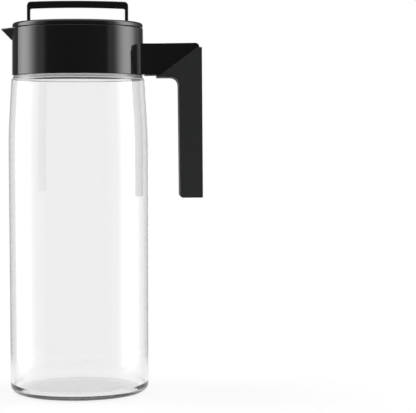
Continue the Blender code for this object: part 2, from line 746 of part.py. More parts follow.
def main():
    clear_scene()
    clear_plastic = moulding("clear plastic", (0.93, 0.95, 0.95), 0.03, transmission=1.0)
    gloss_black = moulding("gloss black plastic", (0.008, 0.008, 0.008), 0.12)
    soft_grey = moulding("soft dark grey", (0.022, 0.024, 0.023), 0.55)
    silicone = moulding("silicone", (0.55, 0.56, 0.55), 0.5)
    make_jar(clear_plastic)
    make_neck_gasket(silicone)
    make_handle_collar(gloss_black)
    make_grip_sleeve(soft_grey)
    make_lid_cap(gloss_black)
    make_lid_plug(gloss_black)
    make_seal("lower_seal", LOWER_GROOVE_BOTTOM, silicone)
    make_seal("upper_seal", UPPER_GROOVE_BOTTOM, silicone)
    make_bail(gloss_black)


main()
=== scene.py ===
# %% [markdown]
# # A clear fridge pitcher with a turning lid
#
# This lesson dresses a packed engineering model of a pitcher. The engineering nodes keep
# their places, and each one gets a finer visual piece that rides on the same moving body.
# Lengths are metres, Z is up, the spout points along -X and the handle along +X.

# %% Load the frame
import math

import bmesh
import bpy
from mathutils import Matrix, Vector


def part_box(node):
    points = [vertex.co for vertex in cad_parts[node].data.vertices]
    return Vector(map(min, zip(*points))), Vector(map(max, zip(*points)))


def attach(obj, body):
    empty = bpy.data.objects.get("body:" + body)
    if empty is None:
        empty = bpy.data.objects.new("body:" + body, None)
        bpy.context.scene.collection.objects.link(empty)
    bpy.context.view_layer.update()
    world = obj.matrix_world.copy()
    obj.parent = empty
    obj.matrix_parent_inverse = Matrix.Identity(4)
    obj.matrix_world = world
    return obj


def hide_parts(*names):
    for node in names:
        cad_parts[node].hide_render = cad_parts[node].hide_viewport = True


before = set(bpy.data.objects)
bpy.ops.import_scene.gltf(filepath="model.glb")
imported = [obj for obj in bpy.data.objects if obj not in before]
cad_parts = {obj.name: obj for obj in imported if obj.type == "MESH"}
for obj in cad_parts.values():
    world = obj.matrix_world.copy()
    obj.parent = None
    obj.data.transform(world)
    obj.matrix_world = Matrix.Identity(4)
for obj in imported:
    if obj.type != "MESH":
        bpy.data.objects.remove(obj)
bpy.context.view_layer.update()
bpy.ops.object.select_all(action="DESELECT")
print("nodes:", sorted(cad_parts))

# %% [markdown]
# The solids carry every size that matters, so the finer pieces take their heights and radii
# from them. A turned node's outer radius is half its box, and its top and bottom are its
# box's heights. Only what no box can tell, such as a wall, a step or a rounding, is a number.

# %% Read the main sizes from the solids
_, jar_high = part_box("jar")
_, collar_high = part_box("handle_collar")
_, cap_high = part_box("lid_cap")
plug_low, plug_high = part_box("lid_plug")
bail_low, bail_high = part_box("bail")
sleeve_low, sleeve_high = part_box("grip_sleeve")

jar_radius = jar_high.x
jar_wall = 0.0024
neck_radius = 0.04608
collar_height = 0.035
collar_wall = 0.0024
collar_top = collar_high.z
collar_bottom = collar_top - collar_height
collar_radius = 0.0488
collar_draft = collar_high.y - collar_radius
socket_radius = collar_radius - collar_wall
seat_gap = 0.00032
print("jar radius", round(jar_radius, 5))
print("collar from", round(collar_bottom, 5), "to", round(collar_top, 5))

# %% [markdown]
# Most of this pitcher is turned: the jar, collar, lid and seals are all round. By hand, such a
# piece starts as half of its section, drawn as a chain of edges, with its corners rounded by a
# vertex bevel. Spin then sweeps the chain round the axis. The same helper serves them all.

# %% A helper for turned pieces
FINE_SIDES = 160
WELD = 0.000004
START_SIZE = 0.001


def start_chain(name, first):
    """A new object in edit mode that holds a single vertex."""
    bpy.ops.object.select_all(action="DESELECT")
    bpy.ops.mesh.primitive_plane_add(size=START_SIZE, location=first)
    piece = bpy.context.active_object
    piece.name = piece.data.name = name
    bpy.ops.object.transform_apply(location=True, rotation=True, scale=True)
    bpy.ops.object.mode_set(mode="EDIT")
    bpy.ops.mesh.select_all(action="SELECT")
    bpy.ops.mesh.merge(type="CENTER")
    return piece


def select_near(piece, place, reach=0.000002):
    """Select only the vertices at one place, in edit mode."""
    bpy.ops.mesh.select_mode(type="VERT")
    bpy.ops.mesh.select_all(action="DESELECT")
    shape = bmesh.from_edit_mesh(piece.data)
    for vert in shape.verts:
        vert.select = (vert.co - Vector(place)).length < reach
    shape.select_flush_mode()
    bmesh.update_edit_mesh(piece.data)


def draw_chain(name, places):
    """Extrude one vertex from place to place, as with E in the viewport."""
    piece = start_chain(name, places[0])
    for before, after in zip(places, places[1:]):
        step = Vector(after) - Vector(before)
        bpy.ops.mesh.extrude_region_move(TRANSFORM_OT_translate={"value": step})
    return piece


def round_corners(piece, places, radii, segments):
    """Vertex-bevel each corner of a chain by its own fillet radius."""
    last = len(places)
    for index, radius in enumerate(radii):
        if radius:
            corner = Vector(places[index])
            one = Vector(places[index - 1]) - corner
            other = Vector(places[(index + 1) % last]) - corner
            reach = radius / math.tan(one.angle(other) / 2)
            select_near(piece, corner)
            bpy.ops.mesh.bevel(offset=reach, segments=segments, affect="VERTICES")


def close_shape():
    """Turn all faces outwards and leave edit mode."""
    bpy.ops.mesh.select_all(action="SELECT")
    bpy.ops.mesh.normals_make_consistent(inside=False)
    bpy.ops.object.mode_set(mode="OBJECT")


def turned_piece(name, stations, ring=False, sides=FINE_SIDES, segments=6):
    """Spin a section of (radius, height, rounding) stations round the upright axis."""
    places = [(radius, 0, height) for radius, height, _ in stations]
    chain = places + places[:1] if ring else places
    piece = draw_chain(name, chain)
    bpy.ops.mesh.select_all(action="SELECT")
    bpy.ops.mesh.remove_doubles(threshold=WELD)
    round_corners(piece, places, [rounding for _, _, rounding in stations], segments)
    bpy.ops.mesh.select_all(action="SELECT")
    bpy.ops.mesh.spin(steps=sides, angle=math.tau, center=(0, 0, 0), axis=(0, 0, 1))
    bpy.ops.mesh.select_all(action="SELECT")
    bpy.ops.mesh.remove_doubles(threshold=WELD)
    close_shape()
    return piece


def smooth(piece, degrees=32):
    """Shade a piece smooth, with sharp edges above an angle and big faces kept flat."""
    bpy.ops.object.select_all(action="DESELECT")
    piece.select_set(True)
    bpy.context.view_layer.objects.active = piece
    bpy.ops.object.shade_smooth_by_angle(angle=math.radians(degrees))
    weighted = piece.modifiers.new("weighted normals", "WEIGHTED_NORMAL")
    weighted.keep_sharp = True
    bpy.ops.object.modifier_apply(modifier=weighted.name)
    print(piece.name, len(piece.data.polygons), "faces")


# %% [markdown]
# The jar is injection-moulded clear plastic: nearly straight sides, drawn in to a shoulder, and
# a thin ring that shows as a bright step under the collar. The section runs from the middle of
# the base up the outside, over the lip and back down the inside, so that the wall has its real
# thickness. Light bends correctly in clear plastic only when both faces of the wall are there.

# %% Jar
shoulder_radius = 0.04965
shoulder_height = 0.235
ledge_height = 0.2369
neck_ring_radius = 0.0483
base_radius = jar_radius - 0.00035
taper_height = 0.1925
floor_height = 0.0035
neck_wall = 0.0024
base_rounding, base_rounding_inside = 0.0058, 0.0045
belly_rounding = 0.3
shoulder_rounding, shoulder_rounding_inside = 0.0016, 0.0015
ledge_rounding = 0.0003
mouth_rounding, throat_rounding = 0.0009, 0.0008

jar_section = [
    (0, 0, 0),
    (base_radius, 0, base_rounding),
    (jar_radius, taper_height, belly_rounding),
    (shoulder_radius, shoulder_height, shoulder_rounding),
    (neck_ring_radius, shoulder_height, 0),
    (neck_ring_radius, ledge_height, ledge_rounding),
    (neck_radius, ledge_height, 0),
    (neck_radius, jar_high.z, mouth_rounding),
    (neck_radius - neck_wall, jar_high.z, mouth_rounding),
    (neck_radius - neck_wall, ledge_height - jar_wall, throat_rounding),
    (shoulder_radius - jar_wall, ledge_height - jar_wall, shoulder_rounding_inside),
    (jar_radius - jar_wall, taper_height, belly_rounding),
    (base_radius - jar_wall, floor_height, base_rounding_inside),
    (0, floor_height, 0),
]
jar = turned_piece("clear_jar", jar_section, segments=8)
smooth(jar)
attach(jar, "pitcher")
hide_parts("jar")

# %% [markdown]
# The collar, spout, arm and grip core are one black moulding. Its ring is turned: the inside has
# a step for the lid to sit on, and the outside is smooth with softly broken edges.

# %% Collar ring
flange_width = 0.003
flange_thickness = 0.002
flange_rounding = 0.0003
socket_depth = 0.0154
edge_break = 0.0004
collar_foot_rounding, collar_rim_rounding = 0.0005, 0.0006
flange_bore = socket_radius - flange_width
flange_top = collar_top - socket_depth
flange_bottom = flange_top - flange_thickness

ring_section = [
    (socket_radius + edge_break, collar_bottom, 0),
    (collar_radius + collar_draft, collar_bottom, collar_foot_rounding),
    (collar_radius, collar_top, collar_rim_rounding),
    (socket_radius + edge_break, collar_top, 0),
    (socket_radius, collar_top - edge_break, 0),
    (socket_radius, flange_top, 0),
    (flange_bore, flange_top, flange_rounding),
    (flange_bore, flange_bottom, flange_rounding),
    (socket_radius, flange_bottom, 0),
    (socket_radius, collar_bottom + edge_break, 0),
]
collar = turned_piece("black_collar", ring_section, ring=True, segments=4)
print("socket radius", round(socket_radius, 5), "and depth", socket_depth)

# %% [markdown]
# Flat-sided pieces start the same way, but their outline is closed into a face and extruded
# across, as a sheet is cut and given its thickness.

# %% A helper for pieces cut from an outline
def filled_outline(name, places, radii, segments):
    """A closed outline with rounded corners, filled with one face and left in edit mode."""
    piece = draw_chain(name, places + places[:1])
    bpy.ops.mesh.select_all(action="SELECT")
    bpy.ops.mesh.remove_doubles(threshold=WELD)
    round_corners(piece, places, radii, segments)
    bpy.ops.mesh.select_all(action="SELECT")
    bpy.ops.mesh.edge_face_add()
    return piece


def extrude(x, y, z):
    """Extrude what is selected by a step."""
    bpy.ops.mesh.extrude_region_move(TRANSFORM_OT_translate={"value": (x, y, z)})


def plate_piece(name, corners, low, high, segments=6):
    """Extrude an outline of (x, z, rounding) corners from y = low to y = high."""
    places = [(x, low, z) for x, z, _ in corners]
    piece = filled_outline(name, places, [rounding for _, _, rounding in corners], segments)
    extrude(0, high - low, 0)
    close_shape()
    return piece


def apply_all(piece):
    """Apply a piece's modifiers from the top down."""
    bpy.ops.object.select_all(action="DESELECT")
    piece.select_set(True)
    bpy.context.view_layer.objects.active = piece
    for modifier in list(piece.modifiers):
        bpy.ops.object.modifier_apply(modifier=modifier.name)


def soften(piece, width, segments=3, degrees=40):
    """Round all the sharp edges of a piece with an applied bevel."""
    bevel = piece.modifiers.new("softened edges", "BEVEL")
    bevel.width = width
    bevel.segments = segments
    bevel.limit_method = "ANGLE"
    bevel.angle_limit = math.radians(degrees)
    apply_all(piece)


def combine(piece, tool, operation):
    """Join a tool's shape to a piece or cut it away, then delete the tool."""
    boolean = piece.modifiers.new("combine", "BOOLEAN")
    boolean.object = tool
    boolean.operation = operation
    boolean.solver = "EXACT"
    apply_all(piece)
    bpy.data.objects.remove(tool, do_unlink=True)


# %% [markdown]
# The grip is rounder on the side where the fingers close than on its back. A bevel that
# follows edge weights can do both at once: each edge's weight is its share of the widest one.

# %% A helper for the grip's two roundings
SHARP_ANGLE = math.radians(40)
FINGER_BLEND = 0.006
UPRIGHT_SHARE = 0.9


def round_grip(piece, finger_line, finger_top, finger_edge, outer_edge, back_line=1, back_edge=0):
    """Round the fingers' side most, then the long back edges, then all the others."""
    shape = bmesh.new()
    shape.from_mesh(piece.data)
    weights = shape.edges.layers.float.new("bevel_weight_edge")
    for edge in shape.edges:
        if edge.calc_face_angle(0) < SHARP_ANGLE:
            continue
        middle = (edge.verts[0].co + edge.verts[1].co) / 2
        share = 0
        if middle.x < finger_line:
            share = max(0, min(1, (finger_top - middle.z) / FINGER_BLEND))
        width = outer_edge + (finger_edge - outer_edge) * share
        rise = abs(edge.verts[0].co.z - edge.verts[1].co.z)
        upright = rise > edge.calc_length() * UPRIGHT_SHARE
        if middle.x > back_line and upright:
            width = back_edge
        edge[weights] = width / finger_edge
    shape.to_mesh(piece.data)
    shape.free()
    rounding = piece.modifiers.new("rounded edges", "BEVEL")
    rounding.width = finger_edge
    rounding.segments = 6
    rounding.limit_method = "WEIGHT"
    apply_all(piece)


# %% [markdown]
# The arm leaves the collar as a level beam and turns down into the core of the grip. Near the
# collar its sides flare out in a curve. The flare is made by slicing the beam with bisect and
# widening each slice a little more than the one before. Grown a little, the same shape later
# cuts the room for the core out of the sleeve.

# %% Arm and grip core
arm_half_width = 0.0123
arm_root_half_width = 0.0165
flare_length = 0.013
inner_lean, outer_lean = 0.0008, 0.0005
grip_depth = 0.0169
sleeve_skin = 0.00182
arm_rise = 0.0007
arm_root = collar_radius - 0.0050
core_inner = sleeve_high.x - outer_lean - grip_depth + sleeve_skin
core_outer = sleeve_high.x - outer_lean - sleeve_skin
core_bottom = sleeve_low.z + sleeve_skin
core_rounding = 0.0008
core_hand_rounding = 0.0074
knee_rounding = 0.003
arm_bottom = collar_bottom + 0.0003
arm_top = collar_top - 0.0117


def grip_core(name, grow):
    """The arm with the grip's core, or, grown a little, the room for it in the sleeve."""
    return plate_piece(name, [
        (arm_root, arm_bottom - grow, 0),
        (core_inner - grow, arm_bottom - grow, core_hand_rounding - grow),
        (core_inner + inner_lean - grow, core_bottom - grow, core_rounding + grow),
        (core_outer + outer_lean + grow, core_bottom - grow, core_rounding + grow),
        (core_outer + grow, arm_top + arm_rise + grow, knee_rounding + grow),
        (arm_root, arm_top + grow, 0),
    ], -arm_half_width - grow, arm_half_width + grow)


arm = grip_core("arm_and_core", 0)

SLICES = 10
SLICE_REACH = 0.00001
flare_end = collar_radius + flare_length
flare_reach = flare_end - arm_root
slice_places = [arm_root + flare_reach * step / SLICES for step in range(SLICES + 1)]
bpy.ops.object.mode_set(mode="EDIT")
for x in slice_places[1:]:
    bpy.ops.mesh.select_all(action="SELECT")
    bpy.ops.mesh.bisect(plane_co=(x, 0, 0), plane_no=(1, 0, 0))
for step, x in enumerate(slice_places[:-1]):
    shape = bmesh.from_edit_mesh(arm.data)
    for vert in shape.verts:
        vert.select = abs(vert.co.x - x) < SLICE_REACH
    shape.select_flush_mode()
    bmesh.update_edit_mesh(arm.data)
    widening = 1 + (arm_root_half_width / arm_half_width - 1) * (1 - step / SLICES) ** 2
    bpy.ops.transform.resize(value=(1, widening, 1), center_override=(x, 0, 0))
bpy.ops.object.mode_set(mode="OBJECT")
round_grip(
    arm, finger_line=core_inner + 0.0012, finger_top=arm_bottom - 0.0008,
    finger_edge=0.0042, outer_edge=0.001,
)
print("arm reaches", round(max(v.co.x for v in arm.data.vertices), 4))

# %% [markdown]
# The spout is a pointed beak. It starts as the flat outline that shows from above, gets a short
# upright lip, and is then drawn down to a point low on the collar. The pouring channel is the
# same shape, moved in by the wall, and is cut away.

# %% Spout
spout_drop = 0.0097
spout_reach = 0.0085
spout_lip = 0.0007
spout_wall = 0.002
spout_half_width = 0.0181
spout_tip_rounding = 0.0015
spout_apex = Vector((-(collar_radius - 0.0006), 0, collar_top - spout_drop))
spout_tip_x = -(collar_radius + spout_reach)
spout_root_x = -(collar_radius - 0.0042)
NEARLY_A_POINT = (0.001, 0.001, 0.001)


def beak(name, shift, overshoot):
    """The spout's solid shape, or its channel where it is moved in and runs past the top."""
    top = collar_top + overshoot
    places = [
        (spout_root_x + shift, spout_half_width, top),
        (spout_tip_x + shift, 0, top),
        (spout_root_x + shift, -spout_half_width, top),
    ]
    piece = filled_outline(name, places, [0, spout_tip_rounding, 0], 6)
    extrude(0, 0, -(spout_lip + overshoot))
    extrude(0, 0, 0)
    apex = spout_apex + Vector((shift, 0, 0))
    bpy.ops.transform.resize(value=NEARLY_A_POINT, center_override=apex)
    bpy.ops.mesh.merge(type="CENTER")
    close_shape()
    return piece


print("spout reaches", round(-spout_tip_x, 5), "from the axis")


# %% [markdown]
# Collar ring, arm and spout are one moulding. The arm's root is first cut back so that nothing
# of it stands inside the collar, where the lid turns above and the jar's neck sits below. Then
# arm and spout join the ring, and last the channel opens the ring's wall to the spout.

# %% Put the collar moulding together
OVERRUN = 0.01
CHANNEL_OVERSHOOT = 0.003


def room_inside(name, low, high):
    """The round space inside the collar between two heights."""
    corners = [(0, low, 0), (socket_radius, low, 0), (socket_radius, high, 0), (0, high, 0)]
    return turned_piece(name, corners)


combine(arm, room_inside("lid_room", flange_top, collar_top + OVERRUN), "DIFFERENCE")
combine(arm, room_inside("neck_room", collar_bottom - OVERRUN, flange_bottom), "DIFFERENCE")
combine(collar, arm, "UNION")
spout = beak("spout", 0, 0)
combine(spout, room_inside("lid_room", flange_top, collar_top + OVERRUN), "DIFFERENCE")
combine(collar, spout, "UNION")
combine(collar, beak("channel", spout_wall, CHANNEL_OVERSHOOT), "DIFFERENCE")
smooth(collar, 30)
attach(collar, "pitcher")
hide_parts("handle_collar")
print("collar, arm and spout are one piece of", len(collar.data.polygons), "faces")

# %% [markdown]
# The grip sleeve is soft plastic pulled over the core and cut off on a slant where it meets the
# arm. Its inner edges, where the fingers close, are rounder than its outer ones. Below the arm
# a thin lip runs on a little past the slant.

# %% Grip sleeve
sleeve_half = sleeve_high.y
hand_gap = 0.02285
sleeve_inner = jar_radius + hand_gap
sleeve_outer = sleeve_high.x - outer_lean
sleeve_tip = arm_top + arm_rise - 0.0033
sleeve_under = arm_bottom - sleeve_skin
toe_length, tip_length = 0.016, 0.0034
end_rounding_inside, end_rounding_outside = 0.0021, 0.0009
finger_rounding = 0.0056
back_rounding = 0.0021
edge_rounding = 0.0014
pocket_slack = 0.0002

sleeve = plate_piece("soft_grip", [
    (sleeve_inner - toe_length, sleeve_under, 0),
    (sleeve_inner, sleeve_under, finger_rounding),
    (sleeve_inner + inner_lean, sleeve_low.z, end_rounding_inside),
    (sleeve_outer + outer_lean, sleeve_low.z, end_rounding_outside),
    (sleeve_outer, sleeve_tip, 0),
    (sleeve_outer - tip_length, sleeve_tip, 0),
], -sleeve_half, sleeve_half)
round_grip(
    sleeve, finger_line=sleeve_inner + 0.0012, finger_top=sleeve_under - 0.0008,
    finger_edge=finger_rounding, outer_edge=edge_rounding,
    back_line=sleeve_outer - 0.0002, back_edge=back_rounding,
)

pocket = grip_core("pocket", pocket_slack)
round_grip(
    pocket, finger_line=core_inner + 0.0008, finger_top=arm_bottom - 0.001,
    finger_edge=0.004, outer_edge=0.0011,
)
combine(sleeve, pocket, "DIFFERENCE")

lip_end = sleeve_inner - 0.0163
lip_inner = lip_end + 0.006
lip_low, lip_high = sleeve_under + 0.0001, arm_bottom - 0.0003
lip_half = arm_half_width + 0.0009
lip_rounding = 0.0003
lip = plate_piece("lip", [
    (lip_end, lip_low, lip_rounding),
    (lip_inner, lip_low, 0),
    (lip_inner, lip_high, 0),
    (lip_end, lip_high, 0),
], -lip_half, lip_half)
soften(lip, lip_rounding, segments=2)
combine(sleeve, lip, "UNION")
smooth(sleeve, 35)
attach(sleeve, "pitcher")
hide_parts("grip_sleeve")

# %% [markdown]
# The lid cap is a shallow dish with a raised rim. Two round-topped bosses at the ends of the
# dish hold the bail's pins.

# %% Lid cap
lid_gap = 0.0004
rim_height = 0.0036
dish_depth = 0.0045
plate_thickness = 0.0021
rim_bottom = collar_top + lid_gap
rim_top = rim_bottom + rim_height
dish_floor = rim_top - dish_depth
plate_bottom = dish_floor - plate_thickness
rim_radius = cap_high.y
dish_radius = 0.04296
rim_rounding = 0.0019
groove_radius = 0.04456
skirt_radius = 0.0433 - seat_gap
skirt_bore = skirt_radius - 0.0014
skirt_bottom = plate_bottom - 0.0012

cap = turned_piece("lid_cap_black", [
    (0, plate_bottom, 0),
    (skirt_bore, plate_bottom, 0),
    (skirt_bore, skirt_bottom, 0),
    (skirt_radius, skirt_bottom, 0),
    (skirt_radius, plate_bottom, 0),
    (groove_radius, plate_bottom, 0),
    (groove_radius, rim_bottom, 0),
    (rim_radius, rim_bottom, 0.0003),
    (rim_radius, rim_top, rim_rounding),
    (dish_radius, rim_top, 0.0008),
    (dish_radius, dish_floor, 0.001),
    (0, dish_floor, 0),
])

eye_radius = 0.0022
pivot_height = bail_low.z + eye_radius
boss_length = 0.0049
boss_radius = 0.0028
boss_sink = 0.001
pin_radius = 0.0013
pin_length = 0.003


def boss(side):
    """One boss, made as an upright plate with a round top and turned to face along X."""
    inner = dish_radius - boss_length
    outer = dish_radius + 0.0008
    low, high = dish_floor - boss_sink, pivot_height + boss_radius
    places = [
        (inner, -boss_radius, low),
        (inner, boss_radius, low),
        (inner, boss_radius, high),
        (inner, -boss_radius, high),
    ]
    if side < 0:
        places = [(-x, y, z) for x, y, z in places]
    round_top = boss_radius * 0.999
    piece = filled_outline("boss", places, [0, 0, round_top, round_top], 8)
    extrude(side * (outer - inner), 0, 0)
    close_shape()
    return piece


def pin(name, start, end, radius):
    """A round bar along X at the pivot's height."""
    bpy.ops.object.select_all(action="DESELECT")
    middle = ((start + end) / 2, 0, pivot_height)
    bpy.ops.mesh.primitive_cylinder_add(
        vertices=48, radius=radius, depth=abs(end - start),
        location=middle, rotation=(0, math.pi / 2, 0),
    )
    bar = bpy.context.active_object
    bar.name = bar.data.name = name
    bpy.ops.object.transform_apply(location=True, rotation=True, scale=True)
    return bar


bail_half = dish_radius - boss_length - seat_gap
hole_start, hole_end = bail_half - 0.002, bail_half + pin_length + seat_gap
for side in (-1, 1):
    combine(cap, boss(side), "UNION")
    hole = pin("pin_hole", side * hole_start, side * hole_end, pin_radius + seat_gap)
    combine(cap, hole, "DIFFERENCE")
smooth(cap)
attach(cap, "lid")
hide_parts("lid_cap")

# %% [markdown]
# Under the cap hangs the plug ring. One side has the wide pouring window, the other a row of
# narrow slots that strain what is poured. A rounded cube is cut through the ring for each.

# %% Lid plug with window and strainer
plug_bottom = plug_low.z
plug_top = plate_bottom - seat_gap
plug_radius = plug_high.x
plug_bore = plug_radius - 0.0025
plug_rounding = 0.0005
groove_height = 0.00264
groove_rounding = 0.0002
lower_groove = plug_bottom + 0.0012
lower_groove_top = lower_groove + groove_height
upper_groove = rim_bottom - groove_height

plug = turned_piece("lid_plug_black", [
    (plug_bore, plug_bottom, plug_rounding),
    (plug_radius, plug_bottom, plug_rounding),
    (plug_radius, lower_groove, groove_rounding),
    (groove_radius, lower_groove, 0),
    (groove_radius, lower_groove_top, 0),
    (plug_radius, lower_groove_top, groove_rounding),
    (plug_radius, upper_groove, groove_rounding),
    (groove_radius + seat_gap, upper_groove, groove_rounding),
    (groove_radius + seat_gap, plug_top, 0),
    (plug_bore, plug_top, groove_rounding),
], ring=True, segments=3)

window_low = lower_groove_top + 0.0012
window_high = plug_top - 0.0014
window_half = 0.015
window_rounding, slot_rounding = 0.0009, 0.0005
slot_count = 9
slot_half = 0.0009
slot_pitch = 0.0036
cut_from, cut_to = 0.037, 0.050


def cut_block(piece, low, high, rounding):
    """Cut a rounded block out of a piece."""
    bpy.ops.object.select_all(action="DESELECT")
    middle = [(a + b) / 2 for a, b in zip(low, high)]
    bpy.ops.mesh.primitive_cube_add(size=1, location=middle)
    block = bpy.context.active_object
    block.scale = [b - a for a, b in zip(low, high)]
    bpy.ops.object.transform_apply(location=True, rotation=True, scale=True)
    soften(block, rounding, segments=3)
    combine(piece, block, "DIFFERENCE")


window_near = (-window_half, cut_from, window_low)
window_far = (window_half, cut_to, window_high)
cut_block(plug, window_near, window_far, window_rounding)
for index in range(slot_count):
    centre = slot_pitch * (index - slot_count // 2)
    slot_low = (centre - slot_half, -cut_to, window_low)
    slot_high = (centre + slot_half, -cut_from, window_high)
    cut_block(plug, slot_low, slot_high, slot_rounding)
smooth(plug)
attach(plug, "lid")
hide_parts("lid_plug")

# %% [markdown]
# Three silicone rings: one in each groove of the lid, and one squeezed between the jar's lip and
# the collar's inner step.

# %% Seals and gasket
RINGS = (
    ("lower_seal", "lid_seals", 0.0012),
    ("upper_seal", "lid_seals", 0.0012),
    ("neck_gasket", "pitcher", 0.0024),
)
outer_bulge, inner_bulge = 0.00045, 0.0001
for node, body, width in RINGS:
    low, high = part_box(node)
    ring = turned_piece(node + "_ring", [
        (high.x - width, low.z, inner_bulge),
        (high.x, low.z, outer_bulge),
        (high.x, high.z, outer_bulge),
        (high.x - width, high.z, inner_bulge),
    ], ring=True, segments=4)
    smooth(ring)
    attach(ring, body)
    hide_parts(node)

# %% [markdown]
# The bail is one flat loop. Its bar has a slight crown, its corners are rounded, and a round
# eye at the foot of each leg carries the pin.

# %% Bail
bail_top = bail_high.z
bar_height = 0.0053
leg = 0.0026
crown_drop = 0.0008
crown_steps = 16
bail_depth = 0.0018
outer_corner, inner_corner = 0.003, 0.001
bail_rounding = 0.0007


def crown_line(half, top):
    """Points of a shallow arch from +half to -half."""
    shares = [1 - 2 * step / crown_steps for step in range(1, crown_steps)]
    return [(half * share, top - crown_drop * share ** 2, 0) for share in shares]


inner_half = bail_half - leg
bar_under = bail_top - bar_height
bail = plate_piece("bail_loop", [
    (bail_half, pivot_height, 0),
    (bail_half, bail_top - crown_drop, outer_corner),
    *crown_line(bail_half, bail_top),
    (-bail_half, bail_top - crown_drop, outer_corner),
    (-bail_half, pivot_height, 0),
    (-inner_half, pivot_height, 0),
    (-inner_half, bar_under - crown_drop, inner_corner),
    *reversed(crown_line(inner_half, bar_under)),
    (inner_half, bar_under - crown_drop, inner_corner),
    (inner_half, pivot_height, 0),
], -bail_depth, bail_depth)
soften(bail, bail_rounding, segments=3)
for side in (-1, 1):
    eye = pin("eye", side * (inner_half + 0.0001), side * (bail_half - 0.0001), eye_radius)
    combine(bail, eye, "UNION")
    stub = pin("stub", side * (bail_half - 0.001), side * (bail_half + pin_length), pin_radius)
    combine(bail, stub, "UNION")
smooth(bail)
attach(bail, "bail")
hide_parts("bail")

# %% [markdown]
# ## Finishes
#
# A finish is a small node tree in front of the Principled BSDF. The helpers below keep such
# trees short: one adds a node with its inputs filled in, one is a Math node, and one turns a
# place or a noise into a value between two limits. Every pattern reads Object coordinates, so
# it stays where it is on a piece when the piece moves.

# %% Helpers for node trees
def connect(tree, value, socket):
    """Link an output to a socket, or set the socket to a plain value."""
    if isinstance(value, bpy.types.NodeSocket):
        tree.links.new(value, socket)
    else:
        socket.default_value = value


def add_node(tree, kind, **inputs):
    """Add a node whose inputs take plain values or other nodes' outputs."""
    node = tree.nodes.new("ShaderNode" + kind)
    for name, value in inputs.items():
        connect(tree, value, node.inputs[name.replace("_", " ")])
    return node


def math_node(tree, operation, first, second=0.0):
    """The result of one Math node."""
    node = tree.nodes.new("ShaderNodeMath")
    node.operation = operation
    connect(tree, first, node.inputs[0])
    connect(tree, second, node.inputs[1])
    return node.outputs[0]


def ramp(tree, value, start, end, low=0.0, high=1.0):
    """low before start and high past end, with a smooth change between."""
    if start > end:
        start, end, low, high = end, start, high, low
    node = add_node(
        tree, "MapRange", Value=value, From_Min=start, From_Max=end, To_Min=low, To_Max=high
    )
    node.interpolation_type = "SMOOTHSTEP"
    return node.outputs[0]


# %% [markdown]
# The plain values of a finish go straight on the shader. What wanders over the surface, such as
# polish, tint or fine grain, comes from noise: 3-D noise has no seams and needs no unwrapping.
# Most of the noise lies in the middle of its range, so that part is stretched to the full change.

# %% Helpers for finishes
MIDDLE = (0.35, 0.65)


def new_finish(name, colour, roughness):
    """A material and its shader node, with the plain values set."""
    finish = bpy.data.materials.new(name)
    finish.use_nodes = True
    shader = finish.node_tree.nodes["Principled BSDF"]
    shader.inputs["Base Color"].default_value = (*colour, 1)
    shader.inputs["Roughness"].default_value = roughness
    return finish, shader


def place_on(tree):
    """Places in the piece's own coordinates."""
    return add_node(tree, "TexCoord").outputs["Object"]


def axes_of(tree, place):
    """The separate X, Y and Z of places or directions."""
    return add_node(tree, "SeparateXYZ", Vector=place).outputs


def noise_on(tree, scale):
    """Noise in the piece's own coordinates."""
    noise = add_node(tree, "TexNoise", Vector=place_on(tree), Scale=scale, Detail=3.0)
    return noise.outputs["Fac"]


def add_tint(tree, shader, scale, dark, light):
    """Let the base colour wander between two tints."""
    tint = add_node(tree, "ValToRGB", Fac=noise_on(tree, scale))
    for stop, place, colour in zip(tint.color_ramp.elements, MIDDLE, (dark, light)):
        stop.position = place
        stop.color = (*colour, 1)
    tree.links.new(tint.outputs["Color"], shader.inputs["Base Color"])


def add_grain(tree, shader, scale, distance):
    """Bump the surface with fine noise."""
    bump = add_node(tree, "Bump", Strength=1.0, Distance=distance, Height=noise_on(tree, scale))
    tree.links.new(bump.outputs["Normal"], shader.inputs["Normal"])


def wear(piece, finish):
    """Give a piece one finish all over."""
    piece.data.materials.clear()
    piece.data.materials.append(finish)
    print(piece.name, "wears", finish.name)


# %% [markdown]
# Clear plastic is a Principled BSDF with full transmission and the plastic's own index of
# refraction. Two places are taken to be dull: the neck, where the collar covers it, and the face
# that the jar stands on, which gets scuffed. Both follow the height. The wall also has the faint
# waviness of a moulding, far too shallow to see except in reflections.

# %% Clear plastic
NECK_FROST = 0.3
BASE_SCUFF = 0.2
WALL_WAVES = (28, 0.000012)

clear, shader = new_finish("clear plastic", (0.94, 0.945, 0.94), 0.0)
shader.inputs["Transmission Weight"].default_value = 1.0
shader.inputs["IOR"].default_value = 1.54
tree = clear.node_tree
height = axes_of(tree, place_on(tree))["Z"]
frost = ramp(tree, height, shoulder_height - 0.0012, shoulder_height - 0.0002, 0, NECK_FROST)
scuff = ramp(tree, height, 0.0005, 0.0001, 0, BASE_SCUFF)
tree.links.new(math_node(tree, "MAXIMUM", frost, scuff), shader.inputs["Roughness"])
add_grain(tree, shader, *WALL_WAVES)
wear(jar, clear)

# %% [markdown]
# The black moulding is polished, but not like glass: its polish wanders a little, and a slow
# waviness keeps long reflections from being ruler-straight. The photograph shows no bright line
# under the arm, so the underside is taken as matt. A finish can tell it by its place.

# %% Gloss black plastic
POLISH = (0.06, 0.085)
POLISH_SCALE = 70
BLACK_WAVES = (90, 0.00003)
MATT = 0.6
UNDERSIDE = (arm_bottom + 0.0004, arm_bottom + 0.0001)
PAST_COLLAR = (collar_radius + 0.0004, collar_radius + 0.0012)

